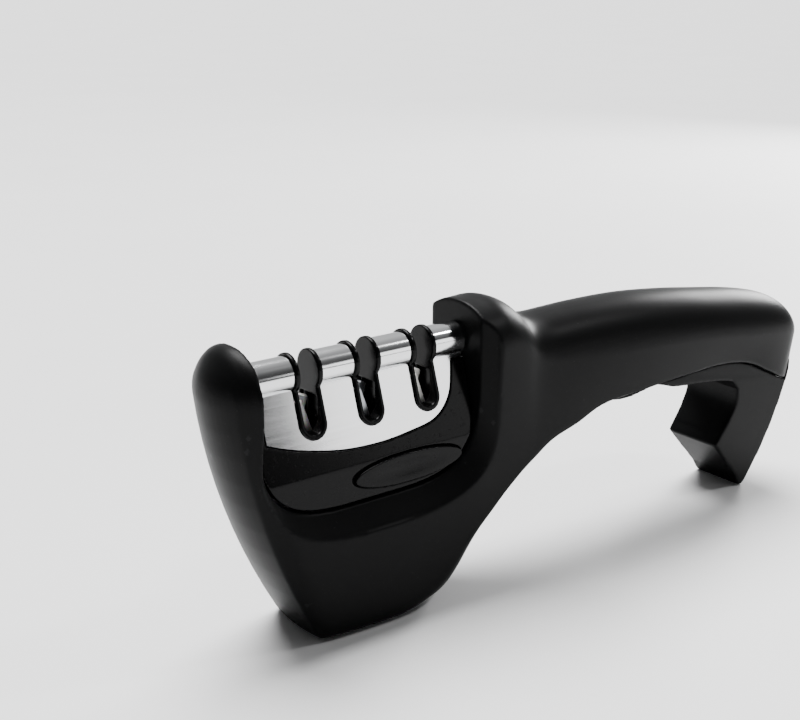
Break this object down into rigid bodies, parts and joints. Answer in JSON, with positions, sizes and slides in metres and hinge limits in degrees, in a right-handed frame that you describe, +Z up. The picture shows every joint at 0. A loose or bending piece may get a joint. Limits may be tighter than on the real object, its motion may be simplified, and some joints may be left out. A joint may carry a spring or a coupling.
{
  "type": "knife sharpener",
  "caption": "Hand-held kitchen knife sharpener: hollow black handle with a foot, and a lift-out cartridge with a polished steel cover and knife slots.",
  "frame": {"origin": "middle of the bounding box in plan, on the table plane under the base and the foot", "axes": "+X from the nose to the heel of the handle, +Z up, +Y to the far side"},
  "size_m": [0.203, 0.0288, 0.0766],
  "materials": {
    "black_abs": "satin moulded black",
    "gloss_black_abs": "polished moulded black",
    "grey_rubber": "matt non-slip rubber",
    "polished_steel": "bright polished stainless steel sheet",
    "zinc_plate": "zinc-plated steel",
    "grey_nylon": "moulded grey nylon",
    "diamond_grit": "steel rod coated with diamond grit",
    "tungsten_carbide": "ground tungsten carbide",
    "white_ceramic": "fired white ceramic"
  },
  "bodies": {
    "body": {"body_shell": "black_abs", "handle_insert": "black_abs", "base_cover": "black_abs", "base_pad": "grey_rubber", "insert_screw_1": "zinc_plate", "insert_screw_2": "zinc_plate", "insert_screw_3": "zinc_plate", "base_screw_1": "zinc_plate", "base_screw_2": "zinc_plate"},
    "cartridge": {"cartridge_body": "gloss_black_abs", "steel_cover": "polished_steel", "keeper_plate": "black_abs", "keeper_screw_1": "zinc_plate", "keeper_screw_2": "zinc_plate", "slot_liner_coarse": "gloss_black_abs", "slot_liner_fine": "gloss_black_abs", "slot_liner_finishing": "gloss_black_abs", "element_holder_coarse": "grey_nylon", "element_holder_fine": "grey_nylon", "element_holder_finishing": "grey_nylon", "diamond_rod_near": "diamond_grit", "diamond_rod_far": "diamond_grit", "carbide_blade_near": "tungsten_carbide", "carbide_blade_far": "tungsten_carbide", "ceramic_rod_near": "white_ceramic", "ceramic_rod_far": "white_ceramic", "pad_spring_near": "zinc_plate", "pad_spring_far": "zinc_plate"},
    "pad_near": {"release_pad_near": "gloss_black_abs"},
    "pad_far": {"release_pad_far": "gloss_black_abs"}
  },
  "joints": [
    {"name": "cartridge_lift", "type": "slide", "parent": "body", "child": "cartridge", "axis": [0, 0, 1], "range_m": [0, 0.055]},
    {"name": "pad_press_near", "type": "slide", "parent": "cartridge", "child": "pad_near", "axis": [0, 1, 0], "range_m": [0, 0.0013], "stiffness_N_per_m": 300},
    {"name": "pad_press_far", "type": "slide", "parent": "cartridge", "child": "pad_far", "axis": [0, -1, 0], "range_m": [0, 0.0013], "stiffness_N_per_m": 300}
  ]
}
